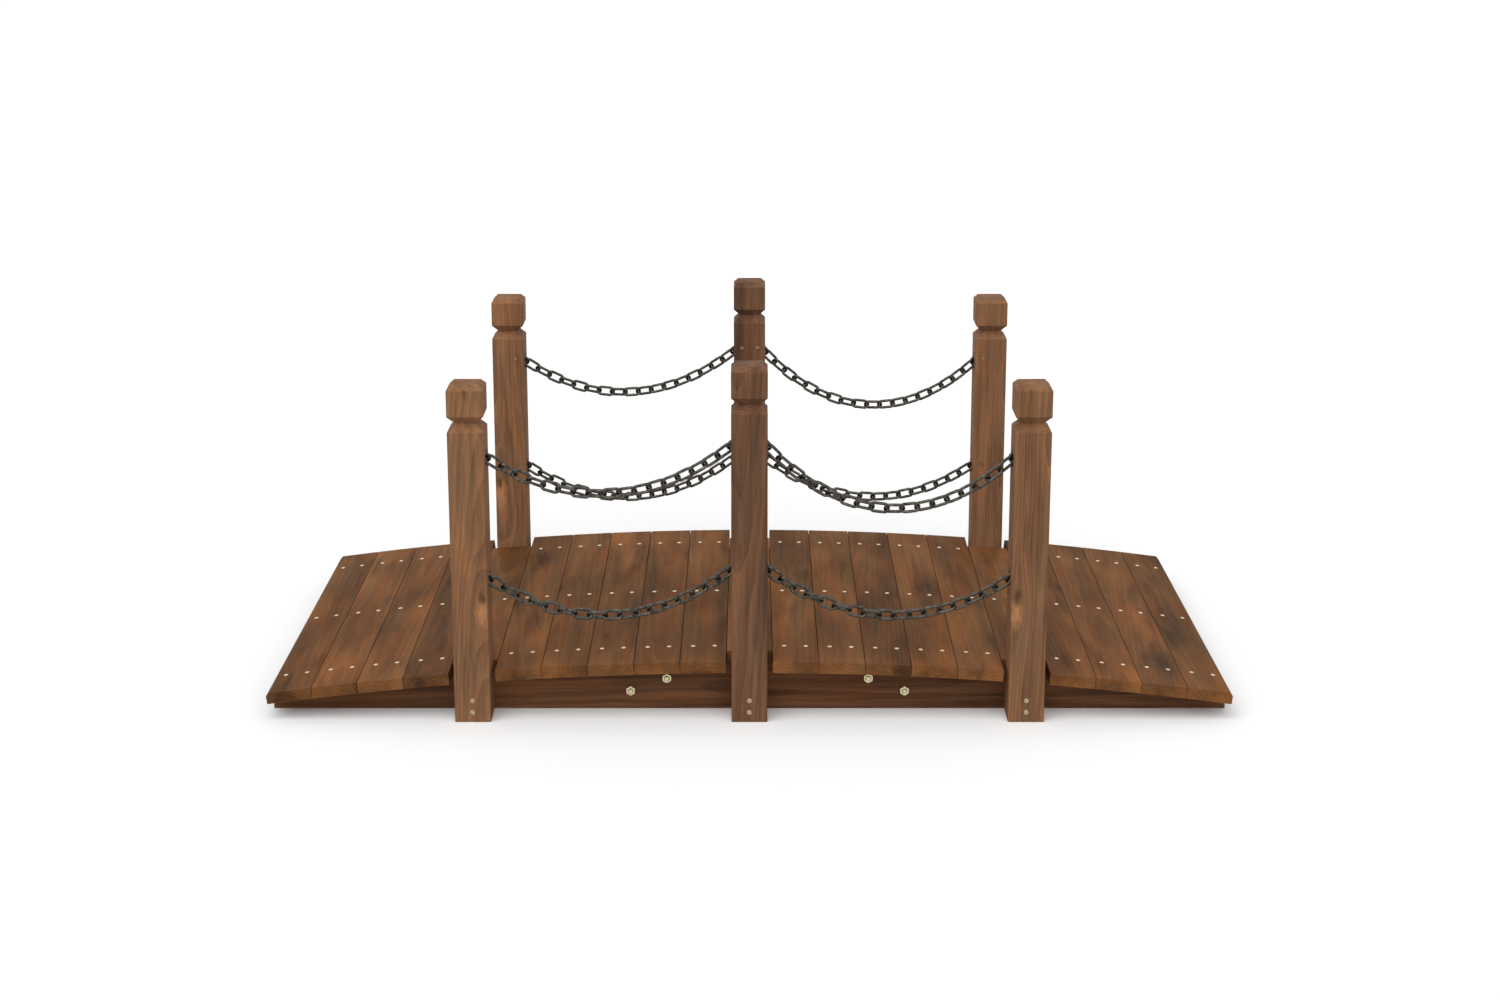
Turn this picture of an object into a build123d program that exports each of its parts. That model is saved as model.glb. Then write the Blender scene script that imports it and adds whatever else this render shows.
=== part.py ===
"""Arched timber garden bridge with chain rails.

X runs along the bridge, Y across it with the front at -Y, and Z up.
The origin is on the ground, under the middle of the deck.
"""

import math
import os

from build123d import *

os.makedirs("parts", exist_ok=True)

# Stringers: three beams, flat below and arched on top, each in two lengths
stringer_length = 1497.0
stringer_crown_height = 77.5
stringer_end_height = 26.0
stringer_thickness = 45.0
stringer_joint_x = 28.5

# Splices: boards that bridge the joint on the stringers' inner faces
splice_length = 490.0
splice_thickness = 18.0
splice_margin = 6.0

# Deck boards, laid square to the arch
board_count = 21
board_thickness = 18.0
board_gap = 0.7
board_edge_radius = 0.6
board_end_inset = 8.0
end_board_bevel = 5.0
boards_between_posts = 5
short_board_clearance = 0.5

# Posts
bridge_width = 670.0
post_size = 55.5
centre_post_height = 566.0
end_post_height = 537.0
post_edge_radius = 1.5
post_top_chamfer = 7.5
neck_drop = 60.0
neck_width = 25.0
neck_depth = 11.5

# Chains: oval links of round wire
chain_wire = 4.8
link_width = 19.0
link_inner_length = 23.8
link_clearance = 0.4
chain_inset = 7.0
upper_chain_end_height = 424.0
upper_chain_centre_height = 443.0
lower_chain_end_height = 230.0
lower_chain_centre_height = 245.0
upper_left_sag = 74.0
upper_right_sag = 92.0
lower_sag = 73.0
link_lean = 8.0
link_turn = 76.0
upper_twist_swing = -12.0
lower_twist_swing = -20.0

# Chain holes in the posts, and the screws that cross the end links
chain_hole_clearance = 2.0
screw_diameter = 3.6
screw_head_diameter = 6.0
screw_head_height = 1.6
screw_bite = 12.0
screw_clearance = 0.15
cut_overrun = 20.0

# The arch: a circle through the stringers' crown and both ends
half_length = stringer_length / 2
arch_rise = stringer_crown_height - stringer_end_height
arch_radius = (half_length**2 + arch_rise**2) / (2 * arch_rise)
arch_centre_z = stringer_crown_height - arch_radius

# Board places along the arch
deck_arc = 2 * arch_radius * math.asin(half_length / arch_radius)
board_pitch = (deck_arc + board_gap) / board_count
board_width = board_pitch - board_gap
middle_board = (board_count + 1) // 2
post_step = boards_between_posts + 1
post_boards = {"left": middle_board - post_step, "centre": middle_board, "right": middle_board + post_step}

# Planes that the pieces meet
post_y = (bridge_width - post_size) / 2
post_inner_y = post_y - post_size / 2
sides = {"front": -1, "back": 1}
stringer_y = {
    "front": stringer_thickness / 2 - post_inner_y,
    "middle": 0,
    "back": post_inner_y - stringer_thickness / 2,
}

# Link sizes that follow from the chain's own
chain_pitch = link_inner_length - link_clearance
link_bend_radius = (link_width - chain_wire) / 2
link_straight = link_inner_length + chain_wire - 2 * link_bend_radius


def save(part, name):
    """Label one finished piece and write its file."""
    part.label = name
    export_step(part, f"parts/{name}.step")


def board_angle(number):
    """Angle of a board's middle about the arch's centre, in radians from upright."""
    return (number - middle_board) * board_pitch / arch_radius


def arch_height(x):
    """Height of the stringers' top at x."""
    return arch_centre_z + math.sqrt(arch_radius**2 - x**2)


def upright_plane(x, y, z, angle=0):
    """Plane that faces the front, with its x axis along the arch at that angle."""
    along = (math.cos(angle), 0, -math.sin(angle))
    return Plane(origin=(x, y, z), x_dir=along, z_dir=(0, -1, 0))


post_x = {place: arch_radius * math.sin(board_angle(number)) for place, number in post_boards.items()}

# Deck boards: rounded rectangles drawn square to the arch and carried across the bridge
long_board = bridge_width - 2 * board_end_inset
short_board = 2 * (post_inner_y - short_board_clearance)
for number in range(1, board_count + 1):
    angle = board_angle(number)
    seat_x = arch_radius * math.sin(angle)
    seat_z = arch_centre_z + arch_radius * math.cos(angle)
    length = short_board if number in post_boards.values() else long_board
    with BuildPart() as deck_board:
        with BuildSketch(upright_plane(seat_x, 0, seat_z, angle)) as board_section:
            Rectangle(board_width, board_thickness, align=(Align.CENTER, Align.MIN))
            corners = board_section.vertices()
            if number in (1, board_count):
                outward = 0 if number == 1 else -1
                top_corners = corners.group_by(Axis.Y)[-1].sort_by(Axis.X)
                chamfer(top_corners[outward], end_board_bevel)
                corners = corners - [top_corners[outward]]
            fillet(corners, board_edge_radius)
        extrude(amount=length / 2, both=True)
    save(deck_board.part, f"deck_board_{number:02d}")

# Stringers: each beam's outline cut at its joint into a left and a right length
for row, y in stringer_y.items():
    with BuildPart() as stringer:
        with BuildSketch(upright_plane(0, y, 0)):
            with BuildLine():
                Polyline(
                    (-half_length, stringer_end_height),
                    (-half_length, 0),
                    (half_length, 0),
                    (half_length, stringer_end_height),
                )
                ThreePointArc(
                    (half_length, stringer_end_height),
                    (0, stringer_crown_height),
                    (-half_length, stringer_end_height),
                )
            make_face()
        extrude(amount=stringer_thickness / 2, both=True)
    joint = Plane(origin=(stringer_joint_x, 0, 0), z_dir=(1, 0, 0))
    for place, keep in {"left": Keep.BOTTOM, "right": Keep.TOP}.items():
        with BuildPart() as stringer_half:
            add(stringer.part)
            split(bisect_by=joint, keep=keep)
        save(stringer_half.part, f"stringer_{row}_{place}")

# Splices: one behind each joint, on the face towards the bridge's middle
splice_reach = abs(stringer_joint_x) + splice_length / 2
splice_height = arch_height(splice_reach) - 2 * splice_margin
for row, y in stringer_y.items():
    inward = -1 if row == "back" else 1
    splice_y = y + inward * (stringer_thickness + splice_thickness) / 2
    with BuildPart() as splice:
        with BuildSketch(upright_plane(stringer_joint_x, splice_y, splice_margin)):
            Rectangle(splice_length, splice_height, align=(Align.CENTER, Align.MIN))
        extrude(amount=splice_thickness / 2, both=True)
    save(splice.part, f"splice_{row}")


def hanging_links(start, end, sag, swing, halvings=60):
    """Places of the links of a chain hung between two points: x, z, slope and twist in radians.

    The wanted sag sets a whole number of links. They lie at equal lengths along a catenary, whose
    parameter makes sinh(u) / u equal to the chain's length, less its rise, over its span.
    The parameter is found by halving the range that holds it. Links lean to one side and the other
    by turns, and the whole chain's twist swings one way and then the other along it.
    """
    span, rise = end[0] - start[0], end[1] - start[1]
    chord = math.hypot(span, rise)
    steps = round(chord * (1 + 8 / 3 * (sag / chord) ** 2) / chain_pitch)
    length = steps * chain_pitch
    stretch = math.sqrt(length**2 - rise**2) / span
    low, high = 0, math.tau
    for _ in range(halvings):
        u = (low + high) / 2
        if math.sinh(u) / u < stretch:
            low = u
        else:
            high = u
    scale = span / (2 * u)
    lowest_x = (start[0] + end[0]) / 2 - scale * math.atanh(rise / length)
    start_arc = scale * math.sinh((start[0] - lowest_x) / scale)
    links = []
    for step in range(steps + 1):
        arc = start_arc + step * chain_pitch
        x = lowest_x + scale * math.asinh(arc / scale)
        z = start[1] + math.hypot(scale, arc) - math.hypot(scale, start_arc)
        turned = link_turn / 2 if step % 2 else -link_turn / 2
        twist = link_lean + turned + swing * math.sin(math.tau * step / steps)
        links.append((x, z, math.atan(arc / scale), math.radians(twist)))
    return links


# Chains: where each hangs, from its left post to its right one
chain_heights = {
    "upper": (upper_chain_end_height, upper_chain_centre_height),
    "lower": (lower_chain_end_height, lower_chain_centre_height),
}
chain_swings = {"upper": upper_twist_swing, "lower": lower_twist_swing}
chain_sags = {
    ("left", "upper"): upper_left_sag,
    ("right", "upper"): upper_right_sag,
    ("left", "lower"): lower_sag,
    ("right", "lower"): lower_sag,
}
chain_reach = post_size / 2 - chain_inset
chains = {}
for (bay, level), sag in chain_sags.items():
    end_height, centre_height = chain_heights[level]
    if bay == "left":
        start = (post_x["left"] + chain_reach, end_height)
        end = (post_x["centre"] - chain_reach, centre_height)
    else:
        start = (post_x["centre"] + chain_reach, centre_height)
        end = (post_x["right"] - chain_reach, end_height)
    chains[bay, level] = hanging_links(start, end, sag, chain_swings[level])

# One link: round wire round an oval in the XZ plane, its long axis along X
with BuildPart() as link:
    with BuildLine(Plane.XZ) as oval:
        right, left = link_straight / 2, -link_straight / 2
        top, bottom = link_bend_radius, -link_bend_radius
        Line((left, bottom), (right, bottom))
        RadiusArc((right, bottom), (right, top), -link_bend_radius)
        Line((right, top), (left, top))
        RadiusArc((left, top), (left, bottom), -link_bend_radius)
    with BuildSketch(Plane(origin=oval.line @ 0, z_dir=oval.line % 0)):
        Circle(chain_wire / 2)
    sweep()


def link_location(y, x, z, slope, twist):
    """Place of a link: its length along the chain's slope, its width turned about that by the twist."""
    along = Vector(math.cos(slope), 0, math.sin(slope))
    square = Vector(-math.sin(slope), 0, math.cos(slope))
    wide = square * math.cos(twist) + Vector(0, 1, 0) * math.sin(twist)
    return Plane(origin=(x, y, z), x_dir=along, z_dir=wide).location


for side, outward in sides.items():
    for (bay, level), links in chains.items():
        with BuildPart() as chain:
            with Locations(*(link_location(outward * post_y, *place) for place in links)):
                add(link.part)
        save(chain.part, f"chain_{side}_{bay}_{level}")

# End links: the post that holds each, its middle, the way into the post and the place of its screw
screw_reach = (link_inner_length - screw_diameter) / 2 - link_clearance
end_links = []
for (bay, level), links in chains.items():
    holders = ("left", "centre") if bay == "left" else ("centre", "right")
    for holder, inward, (x, z, slope, twist) in zip(holders, (-1, 1), (links[0], links[-1])):
        into = Vector(math.cos(slope), 0, math.sin(slope)) * inward
        middle = Vector(x, 0, z)
        end_links.append((holder, middle, into, middle + into * screw_reach))

# Posts: one outline seen from the front and from the side, with holes for the chains and their screws
chain_hole_diameter = link_width + chain_hole_clearance
chain_hole_depth = link_inner_length / 2 + chain_wire + chain_hole_clearance
screw_length = post_size / 2 + screw_bite
for side, outward in sides.items():
    for place, x in post_x.items():
        height = centre_post_height if place == "centre" else end_post_height
        half = post_size / 2
        neck_z = height - neck_drop
        with BuildPart() as post:
            with BuildSketch(Plane(origin=(x, outward * post_y, 0))):
                RectangleRounded(post_size, post_size, post_edge_radius)
            extrude(amount=height)
            for facing, across in (((0, -1, 0), (1, 0, 0)), ((1, 0, 0), (0, 1, 0))):
                with BuildSketch(Plane(origin=(x, outward * post_y, 0), x_dir=across, z_dir=facing)):
                    with BuildLine():
                        Polyline(
                            (0, 0),
                            (half, 0),
                            (half, neck_z - neck_width / 2),
                            (half - neck_depth, neck_z),
                            (half, neck_z + neck_width / 2),
                            (half, height - post_top_chamfer),
                            (half - post_top_chamfer, height),
                            (0, height),
                        )
                        mirror(about=Plane.YZ)
                    make_face()
                extrude(amount=half, both=True, mode=Mode.INTERSECT)
            for holder, middle, into, screw in end_links:
                if holder != place:
                    continue
                chain_line = Plane(origin=middle + Vector(0, outward * post_y, 0), z_dir=into)
                with Locations(chain_line.offset(-cut_overrun).location):
                    Cylinder(
                        chain_hole_diameter / 2,
                        cut_overrun + chain_hole_depth,
                        align=(Align.CENTER, Align.CENTER, Align.MIN),
                        mode=Mode.SUBTRACT,
                    )
                screw_line = Plane(origin=screw + Vector(0, outward * post_inner_y, 0), z_dir=(0, outward, 0))
                with Locations(screw_line.location):
                    Cylinder(
                        screw_diameter / 2 + screw_clearance,
                        screw_length + screw_clearance,
                        align=(Align.CENTER, Align.CENTER, Align.MIN),
                        mode=Mode.SUBTRACT,
                    )
        save(post.part, f"post_{side}_{place}")

# Chain screws: driven from the walkway through the end links
with BuildPart() as chain_screws:
    for side, outward in sides.items():
        for holder, middle, into, screw in end_links:
            head_face = Plane(origin=screw + Vector(0, outward * post_inner_y, 0), z_dir=(0, outward, 0))
            with Locations(head_face.location):
                Cylinder(screw_diameter / 2, screw_length, align=(Align.CENTER, Align.CENTER, Align.MIN))
                Cylinder(
                    screw_head_diameter / 2,
                    screw_head_height,
                    align=(Align.CENTER, Align.CENTER, Align.MAX),
                )
save(chain_screws.part, "chain_screws")
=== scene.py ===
"""Looks of the arched timber garden bridge with chain rails.

The timbers and chains keep their solids and get their finishes here. Deck screws, post screws,
bolts and nuts are added. Lengths are in millimetres until a mesh, lamp or camera is made.
"""

import math

import bpy
import numpy as np
from mathutils import Euler, Matrix, Vector


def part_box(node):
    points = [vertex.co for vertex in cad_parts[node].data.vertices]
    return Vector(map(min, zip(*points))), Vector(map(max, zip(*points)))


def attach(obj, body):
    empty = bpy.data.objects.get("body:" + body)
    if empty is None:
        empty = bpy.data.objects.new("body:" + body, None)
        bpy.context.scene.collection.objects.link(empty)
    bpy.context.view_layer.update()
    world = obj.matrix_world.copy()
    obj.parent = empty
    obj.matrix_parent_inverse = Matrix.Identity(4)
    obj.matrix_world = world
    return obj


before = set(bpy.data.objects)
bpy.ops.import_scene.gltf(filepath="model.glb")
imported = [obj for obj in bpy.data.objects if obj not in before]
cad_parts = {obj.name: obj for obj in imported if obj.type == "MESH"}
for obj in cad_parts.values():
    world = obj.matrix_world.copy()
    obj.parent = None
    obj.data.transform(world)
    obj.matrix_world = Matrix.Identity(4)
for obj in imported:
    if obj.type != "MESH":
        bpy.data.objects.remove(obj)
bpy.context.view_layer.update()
scene = bpy.context.scene
scene.view_settings.view_transform = "Standard"

MM = 0.001

# The photograph's view: its frame in pixels, and the camera that the posts and the deck give
PHOTO_WIDTH = 1500
FOCAL_PIXELS = 2253.5
CAMERA_PLACE = (0.9, -3609.8, 1385.0)
CAMERA_TILT = 12.44
# The photograph keeps its uprights upright, so a part of its downward view is lens shift
CAMERA_SHIFT = -0.13
SENSOR_WIDTH = 36.0

# Screw heads: rings from under the rim, over the crown and down into the cross recess, as shares of
# the head's radius and of its rise
SCREW_SIDES = 16
SCREW_RADIUS_SHARES = (0.72, 1, 0.9, 0.5, 0.44, 0.2)
SCREW_HEIGHT_SHARES = (-0.2, 0.55, 0.92, 1, 1, 0.2)
RECESS_RING = 4
RECESS_ARMS = 4
RECESS_FLOOR_SHARE = 0.2

# Deck screws: two to a board over each stringer
DECK_SCREW_SPREAD = 17.0
DECK_SCREW_HEAD = 7.0
DECK_SCREW_RISE = 0.5

# Post screws: two at the foot of each post's outer face
POST_SCREW_HEIGHTS = (16.0, 35.0)
POST_SCREW_HEAD = 7.7
POST_SCREW_RISE = 0.9

# Stringer bolts: how far from the joint they lie and how high, and the sizes of heads, nuts and ends
BOLT_PLACES = ((215.0, 31.0), (158.0, 52.0))
BOLT_FLATS = 13.5
BOLT_DIAMETER = 8.0
BOLT_HEAD_HEIGHT = 5.3
BOLT_DISH = 9.0
BOLT_TAIL = 1.5
BOLT_TAIL_SHARES = (1, 1, 0.8)
BOLT_TAIL_SIDES = 16
HEXAGON_SIDES = 24
NUT_HEIGHT = 6.5
NUT_CHAMFER = 0.8
THREAD_GAP = 0.5
CORNER_CONE = 30.0
SEAT = 0.05

# Lengths that differ by less than this count as the same
SAME = 1.0


def corners(node):
    """Lowest and highest corner of a solid, in millimetres."""
    low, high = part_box(node)
    return np.array(low) / MM, np.array(high) / MM


# The arch, from the stringers: a circle through their crown and their ends
stringer_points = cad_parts["stringer_front_left"].data.vertices
outline = np.empty(len(stringer_points) * 3)
stringer_points.foreach_get("co", outline)
outline = outline.reshape(-1, 3) / MM
half_length = -outline[:, 0].min()
end_height = outline[outline[:, 0] < SAME - half_length, 2].max()
crown_height = outline[:, 2].max()
arch_rise = crown_height - end_height
arch_radius = (half_length**2 + arch_rise**2) / (2 * arch_rise)
arch_centre = np.array([0, 0, crown_height - arch_radius])

# Boards: their angles about the arch's centre, and the short ones that stop between the posts
board_names = sorted(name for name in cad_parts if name.startswith("deck_board"))
board_boxes = [corners(name) for name in board_names]
board_lengths = np.array([high[1] - low[1] for low, high in board_boxes])
short_boards = board_lengths < board_lengths.max() - SAME
middle_board = len(board_names) // 2
board_thickness = board_boxes[middle_board][1][2] - crown_height
next_middle = sum(board_boxes[middle_board + 1]) / 2
board_step = math.atan2(next_middle[0], next_middle[2] - arch_centre[2])
board_angles = (np.arange(len(board_names)) - middle_board) * board_step

# Stringer rows and the joint in them
stringer_rows = ("front", "middle", "back")
joint_x = corners("stringer_front_left")[1][0]


# Camera
camera = bpy.data.objects.new("camera", bpy.data.cameras.new("camera"))
camera.location = Vector(CAMERA_PLACE) * MM
camera.rotation_euler = Euler((math.radians(90 - CAMERA_TILT), 0, 0))
camera.data.sensor_fit = "HORIZONTAL"
camera.data.sensor_width = SENSOR_WIDTH
camera.data.lens = FOCAL_PIXELS / PHOTO_WIDTH * SENSOR_WIDTH
camera.data.shift_y = CAMERA_SHIFT
scene.collection.objects.link(camera)
scene.camera = camera


def linear(colour):
    """Linear RGBA of an sRGB hex colour, by the sRGB curve."""
    shares = np.array([int(colour[i:i + 2], 16) for i in (1, 3, 5)]) / 255
    bent = np.where(shares <= 0.04045, shares / 12.92, ((shares + 0.055) / 1.055) ** 2.4)
    return (*bent.tolist(), 1.0)


def add(tree, kind, inputs, stops=(), **settings):
    """Adds a node. Inputs take values or other nodes' outputs.

    Stops are a ramp's places and colours. A new ramp has two stops, and more are added to it.
    """
    node = tree.nodes.new("ShaderNode" + kind)
    for name, value in settings.items():
        setattr(node, name, value)
    for socket, value in inputs.items():
        if isinstance(value, bpy.types.NodeSocket):
            tree.links.new(value, node.inputs[socket])
        else:
            node.inputs[socket].default_value = value
    for number, (place, colour) in enumerate(stops):
        ramp = node.color_ramp.elements
        stop = ramp[number] if number < len(ramp) else ramp.new(place)
        stop.position = place
        stop.color = linear(colour)
    return node


def new_material(name):
    """An empty material with its node tree, shader and output."""
    material = bpy.data.materials.new(name)
    material.use_nodes = True
    tree = material.node_tree
    tree.nodes.clear()
    shader = add(tree, "BsdfPrincipled", {})
    add(tree, "OutputMaterial", {"Surface": shader.outputs["BSDF"]})
    return material, tree, shader


# Timbers: stain tones from dark to light, cool and warm tints, growth rings' spacing and strength, and for
# each other pattern its width across the grain, its length along it and its strength in the tone. The
# spread is how much the tone differs from piece to piece. Fibres are far finer on real pine, and are drawn
# as coarse as they need to be to show.
DECK_PINE = {
    "tones": ("#48301D", "#6D4A2D", "#8F613A"),
    "tints": ("#E9EDEC", "#FFEBD4"),
    "rings": (6.5, 0.11),
    "clouds": (80.0, 240.0, 1.05),
    "streaks": (15.0, 300.0, 0.33),
    "fibres": (1.8, 80.0, 0.22),
    "smudges": (42.0, 170.0, 0.2),
    "spread": 0.035,
}
POST_PINE = {
    "tones": ("#5A3F2E", "#826046", "#A87953"),
    "tints": ("#F0F0EE", "#FFF3E7"),
    "rings": (4.2, 0.16),
    "clouds": (30.0, 150.0, 0.4),
    "streaks": (9.0, 420.0, 0.48),
    "fibres": (1.6, 80.0, 0.32),
    "smudges": (20.0, 120.0, 0.12),
    "spread": 0.02,
}
CENTRE_POST_PINE = {
    **POST_PINE,
    "tones": ("#4A3428", "#6A4D3A", "#88644C"),
    "clouds": (24.0, 700.0, 0.85),
}
STRINGER_PINE = {
    "tones": ("#472D1E", "#694731", "#885D3F"),
    "tints": ("#EFF0EE", "#FFF2E4"),
    "rings": (6.0, 0.14),
    "clouds": (40.0, 300.0, 0.5),
    "streaks": (9.0, 340.0, 0.9),
    "fibres": (1.8, 80.0, 0.26),
    "smudges": (20.0, 90.0, 0.1),
    "spread": 0.03,
}

# Growth rings: the length and depth of their sway, how much slower they change along the grain, how deep
# in the log the pith lies and how it leans. The wave texture's phase grows by 20 to a unit of length.
RING_WAVE = 55.0
RING_SWAY = 6.0
RING_DETAIL = 2.0
RING_STRETCH = 0.3
PITH_DEPTH = (18.0, 60.0)
PITH_LEAN = 0.03
WAVE_PHASE = 20.0

# Noise: its detail, its middle, which is the middle tone too, how far apart its random starts lie, and
# the seed that they are drawn with
NOISE_DETAIL = 3.0
NOISE_MIDDLE = 0.5
NOISE_STARTS = 500.0
GRAIN_SEED = 21

# Where the dark, light and middle tones, the two tints and the smudges lie in their noise, and how wide
# and long the tints' patches are
TONE_STOPS = (0.2, 0.8, 0.5)
TINT_STOPS = (0.36, 0.66)
TINT_SIZE = (30.0, 170.0)
SMUDGE_LEVELS = (0.54, 0.74)

# Planed pine is matt: roughness over the fibres, and their relief
PINE_ROUGHNESS = (0.55, 0.85)
PINE_SPECULAR = 0.1
FIBRE_BUMP = 0.3
FIBRE_DEPTH = 0.6

# Board ends, smooth and paler: how far in they reach, and their lift in the tone
END_REACH = 110.0
END_LIFT = 0.05

# Knots: how far the grain bends round one, across and along it, and its ragged spots of colour: how high
# each lies over the knot's middle, its half width, half length, colour and strength. Rags are noise of
# this width and length, and as deep as this share of a spot's size.
KNOT_BEND = (34.0, 110.0)
KNOT_SPOTS = (
    (0.0, 14.0, 36.0, "#B98156", 0.8),
    (26.0, 9.0, 20.0, "#45301F", 0.8),
)
KNOT_RAGS = (3.0, 16.0, 1.5)

# The side of each post that has a knot, along the bridge and across it, how far from the post's middle
# the knots lie, and how high
KNOT_SIDES = {
    "post_front_left": (1, -1),
    "post_front_right": (-1, -1),
    "post_back_left": (-1, -1),
    "post_back_right": (-1, 1),
}
KNOT_ASIDE = 19.0
KNOT_HEIGHT = 177.0


def stretched_noise(tree, place, width, length, draw):
    """Noise drawn out along the grain, started at a random spot."""
    sizes = (1 / width, 1 / width, 1 / length)
    start = draw.uniform(0, NOISE_STARTS, 3).tolist()
    stretched = add(tree, "VectorMath", {0: place, 1: sizes, 2: start}, operation="MULTIPLY_ADD")
    noise = {"Vector": stretched.outputs["Vector"], "Scale": 1.0, "Detail": NOISE_DETAIL}
    return add(tree, "TexNoise", noise).outputs["Fac"]


def growth_rings(tree, place, spacing, draw):
    """Rings about the log's z axis, each running from early wood at 0 to late wood at 1, and swaying."""
    start = (0, 0, draw.uniform(0, NOISE_STARTS * RING_WAVE))
    slow = add(tree, "VectorMath", {0: place, 1: (1, 1, RING_STRETCH), 2: start}, operation="MULTIPLY_ADD")
    scale = math.tau / (WAVE_PHASE * spacing)
    sway = {"Distortion": RING_SWAY, "Detail": RING_DETAIL, "Detail Scale": 1 / (RING_WAVE * scale)}
    rings = add(
        tree,
        "TexWave",
        {"Vector": slow.outputs["Vector"], "Scale": scale, **sway},
        wave_type="RINGS",
        rings_direction="Z",
        wave_profile="SAW",
    )
    return rings.outputs["Fac"]


def nearness(tree, place, heart, half_width, half_length, rags=0.0):
    """The way from the heart of an oval in the log, and how near it is.

    Nearness falls smoothly from 1 at the heart to 0 at the oval's edge, which rags shift.
    """
    off = add(tree, "VectorMath", {0: place, 1: heart}, operation="SUBTRACT").outputs["Vector"]
    sizes = (1 / half_width, 1 / half_width, 1 / half_length)
    oval = add(tree, "VectorMath", {0: off, 1: sizes}, operation="MULTIPLY").outputs["Vector"]
    share = add(tree, "VectorMath", {0: oval}, operation="LENGTH").outputs["Value"]
    share = add(tree, "Math", {0: share, 1: rags}, operation="ADD").outputs["Value"]
    fall = {"Value": share, "To Min": 1.0, "To Max": 0.0}
    return off, add(tree, "MapRange", fall, interpolation_type="SMOOTHSTEP").outputs["Result"]


def bent_round(tree, log, heart):
    """Places in the log, drawn in towards a knot's heart, so that the grain bends round it."""
    off, near = nearness(tree, log, heart, *KNOT_BEND)
    inward = add(tree, "VectorMath", {0: off, "Scale": near}, operation="SCALE").outputs["Vector"]
    return add(tree, "VectorMath", {0: log, 1: inward}, operation="SUBTRACT").outputs["Vector"]


def knotted(tree, log, heart, colour, draw):
    """A colour with a knot's ragged spots laid over it."""
    width, length, depth = KNOT_RAGS
    for height, half_width, half_length, spot, strength in KNOT_SPOTS:
        noise = stretched_noise(tree, log, width, length, draw)
        rags = {0: noise, 1: depth, 2: -depth / 2}
        rags = add(tree, "Math", rags, operation="MULTIPLY_ADD").outputs["Value"]
        middle = heart + Vector((0, 0, height))
        near = nearness(tree, log, middle, half_width, half_length, rags)[1]
        cover = add(tree, "Math", {0: near, 1: strength}, operation="MULTIPLY").outputs["Value"]
        mixed = {"Fac": cover, "Color1": colour, "Color2": linear(spot)}
        colour = add(tree, "MixRGB", mixed).outputs["Color"]
    return colour


def grain_tone(tree, log, grain, timber, draw):
    """The stain's tone, dark to light, and the fibres alone.

    Rings, clouds, streaks and fibres follow the grain and go either way from the middle tone.
    Smudges only darken it.
    """
    spacing, depth = timber["rings"]
    rings = growth_rings(tree, grain, spacing, draw)
    start = NOISE_MIDDLE + draw.normal(0, timber["spread"]) + depth / 2
    tone = add(tree, "Math", {0: rings, 1: -depth, 2: start}, operation="MULTIPLY_ADD").outputs["Value"]
    for pattern in ("clouds", "streaks", "fibres"):
        width, length, depth = timber[pattern]
        noise = stretched_noise(tree, grain, width, length, draw)
        level = add(tree, "Math", {0: noise, 1: NOISE_MIDDLE}, operation="SUBTRACT").outputs["Value"]
        tone = add(tree, "Math", {0: level, 1: depth, 2: tone}, operation="MULTIPLY_ADD").outputs["Value"]
    fibres = noise

    width, length, depth = timber["smudges"]
    low, high = SMUDGE_LEVELS
    blots = stretched_noise(tree, log, width, length, draw)
    smudges = {"Value": blots, "From Min": low, "From Max": high, "To Max": depth}
    smudges = add(tree, "MapRange", smudges, interpolation_type="SMOOTHSTEP").outputs["Result"]
    tone = add(tree, "Math", {0: tone, 1: smudges}, operation="SUBTRACT").outputs["Value"]
    return tone, fibres


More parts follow.
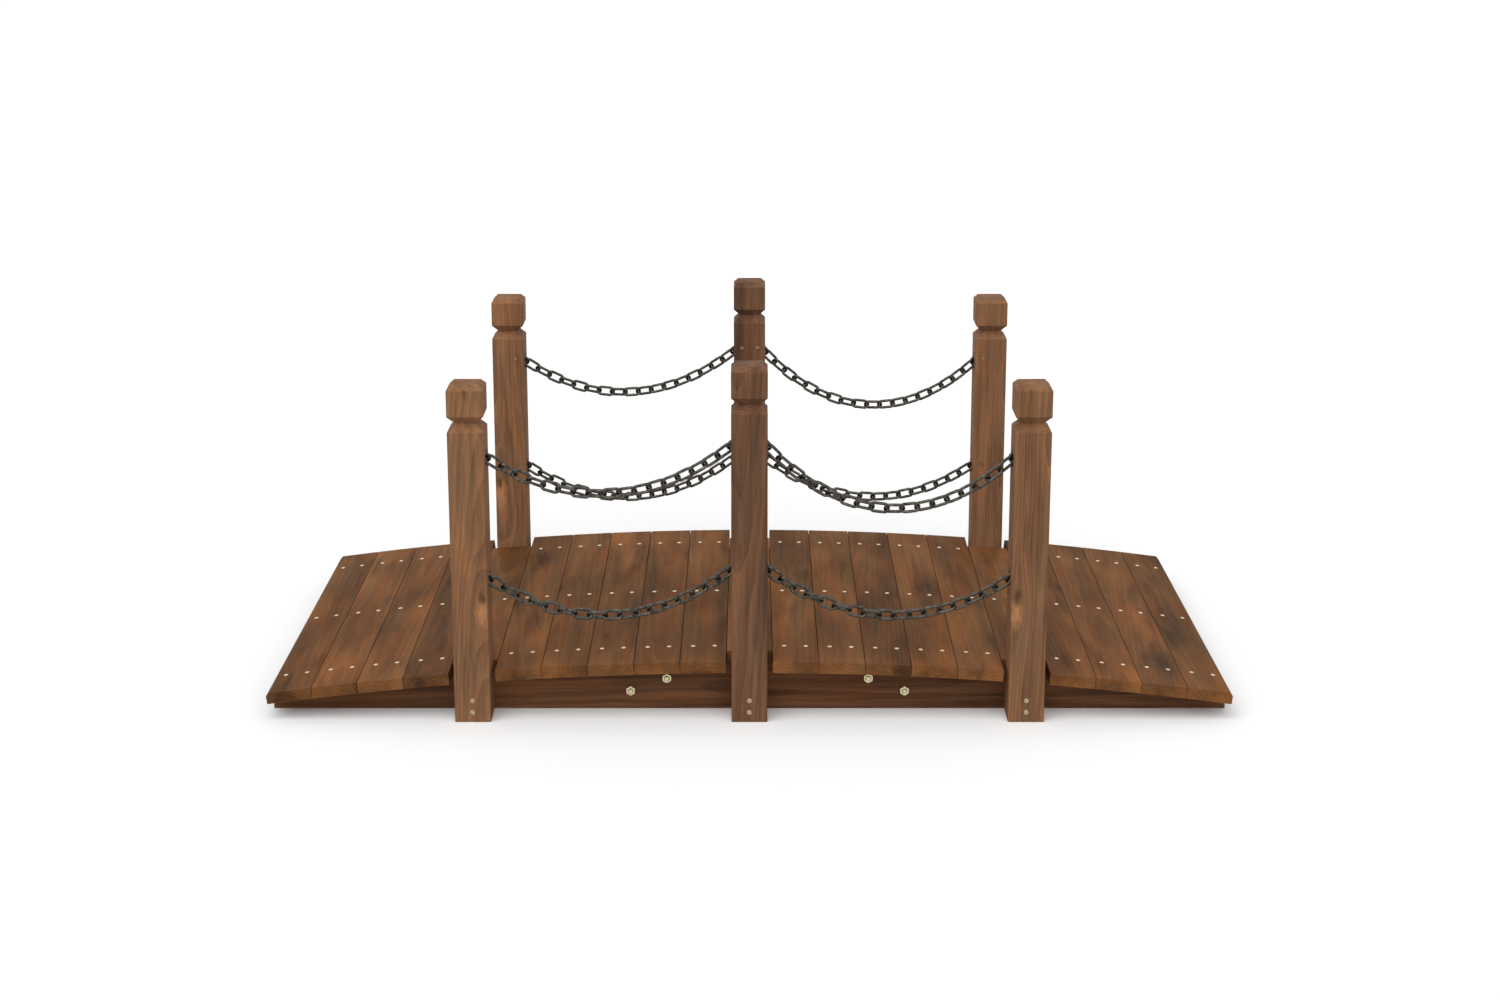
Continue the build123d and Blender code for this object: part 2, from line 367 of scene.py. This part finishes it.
def stained_pine(name, middle, axes, timber, draw, knot=None, half_length=None):
    """Planed pine, stained brown and left matt: rings about a leaning pith, clouds, streaks and fibres.

    The pattern is solid, in the log's own frame: its z runs along the grain, and rings lie about z.
    So faces, edges and end grain agree. It gives the eye soft brown timber with a quiet grain.
    """
    material, tree, shader = new_material(name)
    lean = Euler((draw.normal(0, PITH_LEAN), draw.normal(0, PITH_LEAN), 0)).to_matrix()
    log_axes = Matrix(axes).transposed() @ lean
    offset = (draw.normal(0, PITH_DEPTH[0]), draw.choice((-1, 1)) * draw.uniform(*PITH_DEPTH), 0)
    pith = Vector(middle) + log_axes @ Vector(offset)
    place = add(tree, "TexCoord", {}).outputs["Object"]
    log = add(
        tree,
        "Mapping",
        {"Vector": place, "Location": pith * MM, "Rotation": log_axes.to_euler(), "Scale": (MM, MM, MM)},
        vector_type="TEXTURE",
    ).outputs["Vector"]

    grain = log
    if knot is not None:
        heart = log_axes.transposed() @ (Vector(knot) - pith)
        grain = bent_round(tree, log, heart)
    tone, fibres = grain_tone(tree, log, grain, timber, draw)
    if half_length is not None:
        along = add(tree, "SeparateXYZ", {"Vector": log}).outputs["Z"]
        from_middle = add(tree, "Math", {0: along}, operation="ABSOLUTE").outputs["Value"]
        reach = {"From Min": half_length - END_REACH, "From Max": half_length, "To Max": END_LIFT}
        lift = add(tree, "MapRange", {"Value": from_middle, **reach}, interpolation_type="SMOOTHSTEP")
        tone = add(tree, "Math", {0: tone, 1: lift.outputs["Result"]}, operation="ADD").outputs["Value"]

    dark, even, light = timber["tones"]
    stain = add(tree, "ValToRGB", {"Fac": tone}, stops=zip(TONE_STOPS, (dark, light, even)))
    warmth = stretched_noise(tree, log, *TINT_SIZE, draw)
    tint = add(tree, "ValToRGB", {"Fac": warmth}, stops=zip(TINT_STOPS, timber["tints"]))
    tinted = {"Fac": 1.0, "Color1": stain.outputs["Color"], "Color2": tint.outputs["Color"]}
    colour = add(tree, "MixRGB", tinted, blend_type="MULTIPLY").outputs["Color"]
    if knot is not None:
        colour = knotted(tree, log, heart, colour, draw)
    tree.links.new(colour, shader.inputs["Base Color"])

    smooth, rough = PINE_ROUGHNESS
    roughness = add(tree, "MapRange", {"Value": fibres, "To Min": smooth, "To Max": rough})
    tree.links.new(roughness.outputs["Result"], shader.inputs["Roughness"])
    shader.inputs["Specular IOR Level"].default_value = PINE_SPECULAR
    bump = add(tree, "Bump", {"Height": fibres, "Strength": FIBRE_BUMP, "Distance": FIBRE_DEPTH * MM})
    tree.links.new(bump.outputs["Normal"], shader.inputs["Normal"])
    return material


def dress(node, material):
    """Gives a solid one finish."""
    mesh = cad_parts[node].data
    mesh.materials.clear()
    mesh.materials.append(material)


# Grain frames: rows are the directions across the wide face, through the thickness and along the grain
POST_AXES = ((1, 0, 0), (0, 1, 0), (0, 0, 1))
STRINGER_AXES = ((0, 0, 1), (0, -1, 0), (1, 0, 0))

# Timbers get their finishes: a pattern of its own for each piece
draw = np.random.default_rng(GRAIN_SEED)
for name, angle, (low, high) in zip(board_names, board_angles, board_boxes):
    along_arch = (math.cos(angle), 0, -math.sin(angle))
    outward = (math.sin(angle), 0, math.cos(angle))
    board_axes = (along_arch, outward, (0, -1, 0))
    middle, reach = (low + high) / 2, (high[1] - low[1]) / 2
    board = stained_pine(f"stained_pine_{name}", middle, board_axes, DECK_PINE, draw, half_length=reach)
    dress(name, board)

for name in sorted(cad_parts):
    low, high = corners(name)
    middle = (low + high) / 2
    if name.startswith("post_"):
        knot = None
        if name in KNOT_SIDES:
            along, across = KNOT_SIDES[name]
            knot = (middle[0] + along * KNOT_ASIDE, low[1] if across < 0 else high[1], KNOT_HEIGHT)
        timber = POST_PINE if knot else CENTRE_POST_PINE
        dress(name, stained_pine(f"stained_pine_{name}", middle, POST_AXES, timber, draw, knot))
    if name.startswith(("stringer_", "splice_")):
        dress(name, stained_pine(f"stained_pine_{name}", middle, STRINGER_AXES, STRINGER_PINE, draw))


# Metals: the size of their cloudy patches and the noise's detail, where their two tones lie in the noise,
# and their roughness from the dark patches to the light ones, between two levels of the noise.
# Chain wire is drawn, welded and blackened: a dark satin metal, a little greyer where links rub.
# Zinc plate is passivated: a pale satin metal, slightly cloudy.
BLACKENED_STEEL = {"patch": 6.0, "detail": 3.0, "levels": (0.3, 0.75), "roughness": (0.5, 0.36)}
ZINC_PLATE = {"patch": 4.0, "detail": 2.0, "levels": (0.3, 0.7), "roughness": (0.5, 0.35)}
GLOSS_LEVELS = (0.3, 0.7)


def satin_metal(name, finish, tones):
    """A satin metal whose colour and gloss change together over small soft patches."""
    material, tree, shader = new_material(name)
    place = add(tree, "TexCoord", {}).outputs["Object"]
    noise = {"Vector": place, "Scale": 1 / (finish["patch"] * MM), "Detail": finish["detail"]}
    patches = add(tree, "TexNoise", noise).outputs["Fac"]
    colour = add(tree, "ValToRGB", {"Fac": patches}, stops=zip(finish["levels"], tones))
    tree.links.new(colour.outputs["Color"], shader.inputs["Base Color"])
    low, high = GLOSS_LEVELS
    rough, smooth = finish["roughness"]
    gloss = {"From Min": low, "From Max": high, "To Min": rough, "To Max": smooth}
    roughness = add(tree, "MapRange", {"Value": patches, **gloss})
    tree.links.new(roughness.outputs["Result"], shader.inputs["Roughness"])
    shader.inputs["Metallic"].default_value = 1.0
    return material


chain_steel = satin_metal("blackened_steel_chain", BLACKENED_STEEL, ("#34322F", "#5E5A52"))
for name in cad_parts:
    if name.startswith("chain_"):
        dress(name, chain_steel)
screw_zinc = satin_metal("zinc_plate_screws", ZINC_PLATE, ("#D4BFA0", "#ECDABD"))
dull_zinc = satin_metal("dulled_zinc_chain_screws", ZINC_PLATE, ("#77604C", "#9A8068"))
post_zinc = satin_metal("weathered_zinc_post_screws", ZINC_PLATE, ("#9C8A6E", "#BCAA8C"))
bolt_zinc = satin_metal("yellow_zinc_bolts", ZINC_PLATE, ("#BFB08A", "#DCD0AE"))
dress("chain_screws", dull_zinc)


def turned(radii, heights, sides):
    """Rings of points on a polar grid: ring i at angle a lies at radius r(i, a) and height h(i, a).

    Quads join each ring to the next, and a face closes the first ring below and the last one above.
    """
    angles = np.arange(sides) * math.tau / sides
    radii, heights = np.broadcast_arrays(radii, heights)
    points = np.stack([radii * np.cos(angles), radii * np.sin(angles), heights], axis=-1)
    index = np.arange(points.shape[0] * sides).reshape(-1, sides)
    ahead = np.roll(index, -1, axis=1)
    quads = np.stack([index[:-1], ahead[:-1], ahead[1:], index[1:]], axis=-1).reshape(-1, 4)
    caps = np.stack([index[0, ::-1], index[-1]])
    return points.reshape(-1, 3), (quads, caps)


def repeated(name, shape, places, outs, material):
    """Copies of a shape joined into one piece: a point (x, y, z) goes to place + x a + y b + z out.

    a and b span the face that out stands on: a runs along the bridge, and b square to it.
    """
    points, groups = shape
    places, outs = np.array(places, float), np.array(outs, float)
    upright = np.argmax(np.abs(outs), axis=1) == 1
    along = np.cross(outs, np.where(upright[:, None], [[0, 0, 1]], [[0, 1, 0]]))
    frames = np.stack([along, np.cross(outs, along), outs], axis=1)
    moved = places[:, None] + np.einsum("pk,nkj->npj", points, frames)
    shifts = np.arange(len(places))[:, None, None] * len(points)
    faces = [face for group in groups for face in (group + shifts).reshape(-1, group.shape[1]).tolist()]
    mesh = bpy.data.meshes.new(name)
    mesh.from_pydata((moved.reshape(-1, 3) * MM).tolist(), [], faces)
    mesh.materials.append(material)
    piece = bpy.data.objects.new(name, mesh)
    scene.collection.objects.link(piece)
    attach(piece, "root")


def screw_head(diameter, rise):
    """A pan head with a cross recess: rings from under the rim, over the crown and down into the recess.

    The rim overhangs, so it throws a thin shadow. On the recess's ring the points of the cross's arms
    lie deep, and the ones between stay on the crown.
    """
    arm = np.arange(SCREW_SIDES) % (SCREW_SIDES // RECESS_ARMS) == 0
    radii = diameter / 2 * np.array(SCREW_RADIUS_SHARES)[:, None]
    heights = rise * np.array(SCREW_HEIGHT_SHARES)[:, None] + np.zeros(SCREW_SIDES)
    heights[RECESS_RING] = np.where(arm, RECESS_FLOOR_SHARE * rise, rise)
    return turned(radii, heights, SCREW_SIDES)


# Deck screws
deck_screw_places, deck_screw_outs = [], []
deck_top = arch_radius + board_thickness
for angle, short in zip(board_angles, short_boards):
    outward = np.array([math.sin(angle), 0, math.cos(angle)])
    along_arch = np.array([math.cos(angle), 0, -math.sin(angle)])
    for row in stringer_rows:
        if short and row != "middle":
            continue
        low, high = corners(f"stringer_{row}_left")
        across = np.array([0, (low[1] + high[1]) / 2, 0])
        for spread in (-DECK_SCREW_SPREAD, DECK_SCREW_SPREAD):
            deck_screw_places.append(arch_centre + outward * deck_top + along_arch * spread + across)
            deck_screw_outs.append(outward)
deck_screw = screw_head(DECK_SCREW_HEAD, DECK_SCREW_RISE)
repeated("deck_screws", deck_screw, deck_screw_places, deck_screw_outs, screw_zinc)

# Post screws
post_screw_places, post_screw_outs = [], []
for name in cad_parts:
    if name.startswith("post_"):
        low, high = corners(name)
        out = -1 if "front" in name else 1
        for height in POST_SCREW_HEIGHTS:
            post_screw_places.append(((low[0] + high[0]) / 2, low[1] if out < 0 else high[1], height))
            post_screw_outs.append((0, out, 0))
post_screw = screw_head(POST_SCREW_HEAD, POST_SCREW_RISE)
repeated("post_screws", post_screw, post_screw_places, post_screw_outs, post_zinc)


def hexagon(flats):
    """Radii of a hexagon at even angles: half the width over flats, over the cosine from a flat's middle."""
    angles = np.arange(HEXAGON_SIDES) * math.tau / HEXAGON_SIDES
    return flats / 2 / np.cos((angles + math.pi / 6) % (math.pi / 3) - math.pi / 6)


def hexagon_block(flats, height, hole):
    """A hexagon nut or head: its corners are turned off in a cone, and the middle of its top is sunk.

    Rings go up its flats, over the cone and down into the hole.
    """
    rim = hexagon(flats)
    even = np.ones_like(rim)
    cone = (rim - flats / 2) * math.tan(math.radians(CORNER_CONE))
    top, floor = height * even, (height - NUT_CHAMFER) * even
    radii = np.stack([rim, rim, flats / 2 * even, hole / 2 * even, (hole / 2 - THREAD_GAP) * even])
    heights = np.stack([-SEAT * even, height - cone, top, top, floor])
    return turned(radii, heights, HEXAGON_SIDES)


def bolt_tail(diameter, rise):
    """The end of a bolt: a short cylinder with its edge turned off."""
    radii = diameter / 2 * np.array(BOLT_TAIL_SHARES)[:, None] + np.zeros(BOLT_TAIL_SIDES)
    heights = np.array([-SEAT, rise - NUT_CHAMFER, rise])[:, None] + np.zeros(BOLT_TAIL_SIDES)
    return turned(radii, heights, BOLT_TAIL_SIDES)


# Stringer bolts: nuts and bolt ends on the outer face, heads on the splice
nut_places, nut_outs, head_places, head_outs = [], [], [], []
for row in stringer_rows:
    low, high = corners(f"stringer_{row}_left")
    splice_low, splice_high = corners(f"splice_{row}")
    out = 1 if row == "back" else -1
    for offset, height in BOLT_PLACES:
        for x in (joint_x - offset, joint_x + offset):
            nut_places.append((x, low[1] if out < 0 else high[1], height))
            nut_outs.append((0, out, 0))
            head_places.append((x, splice_high[1] if out < 0 else splice_low[1], height))
            head_outs.append((0, -out, 0))
nut = hexagon_block(BOLT_FLATS, NUT_HEIGHT, BOLT_DIAMETER + 2 * THREAD_GAP)
tail = bolt_tail(BOLT_DIAMETER, NUT_HEIGHT + BOLT_TAIL)
head = hexagon_block(BOLT_FLATS, BOLT_HEAD_HEIGHT, BOLT_DISH)
repeated("stringer_nuts", nut, nut_places, nut_outs, bolt_zinc)
repeated("stringer_bolt_ends", tail, nut_places, nut_outs, bolt_zinc)
repeated("stringer_bolts", head, head_places, head_outs, bolt_zinc)


def seen_directly(tree):
    """1 for rays from the camera, from mirrors and through glass, and 0 for light that scatters."""
    path = add(tree, "LightPath", {}).outputs
    mirrored = {0: path["Is Glossy Ray"], 1: path["Is Transmission Ray"]}
    mirrored = add(tree, "Math", mirrored, operation="MAXIMUM").outputs["Value"]
    return add(tree, "Math", {0: path["Is Camera Ray"], 1: mirrored}, operation="MAXIMUM").outputs["Value"]


# Floor: a wide white sheet that keeps the bridge's shadow, with its reach in metres
FLOOR_REACH = 30.0
FLOOR_DROP = 0.2
FLOOR_LIGHT = "#B4B4B4"
FLOOR_SEEN = "#FCFCFC"


def white_floor():
    """Matt studio floor: white to the camera and in reflections, and pale grey in the light it gives back."""
    material, tree, shader = new_material("matt_white_floor")
    colours = {"Fac": seen_directly(tree), "Color1": linear(FLOOR_LIGHT), "Color2": linear(FLOOR_SEEN)}
    tree.links.new(add(tree, "MixRGB", colours).outputs["Color"], shader.inputs["Base Color"])
    shader.inputs["Roughness"].default_value = 1.0
    shader.inputs["Specular IOR Level"].default_value = 0.0
    return material


floor_mesh = bpy.data.meshes.new("floor")
square = np.array([(-1, -1, 0), (1, -1, 0), (1, 1, 0), (-1, 1, 0)]) * FLOOR_REACH
floor_mesh.from_pydata((square - [0, 0, FLOOR_DROP * MM]).tolist(), [], [[0, 1, 2, 3]])
floor_mesh.materials.append(white_floor())
floor = bpy.data.objects.new("floor", floor_mesh)
scene.collection.objects.link(floor)

# Light: a soft white room, a broad lamp over the camera's left shoulder and a weaker one on its right
ROOM_LIGHT = 0.66
LAMP_SPREAD = 60.0
LAMPS = {
    "key_lamp": ((-0.3, -0.5, 0.85), 1.35),
    "fill_lamp": ((0.25, -0.95, 0.3), 0.8),
}
for name, (place, strength) in LAMPS.items():
    lamp = bpy.data.lights.new(name, "SUN")
    lamp.angle = math.radians(LAMP_SPREAD)
    lamp.energy = strength
    lamp_object = bpy.data.objects.new(name, lamp)
    lamp_object.rotation_euler = Vector(place).to_track_quat("Z", "Y").to_euler()
    scene.collection.objects.link(lamp_object)

world = bpy.data.worlds.new("white_room")
world.use_nodes = True
room = world.node_tree
room.nodes.clear()
strength = add(room, "MapRange", {"Value": seen_directly(room), "To Min": ROOM_LIGHT, "To Max": 1.0})
white = add(room, "Background", {"Color": linear("#FFFFFF"), "Strength": strength.outputs["Result"]})
add(room, "OutputWorld", {"Surface": white.outputs["Background"]})
scene.world = world
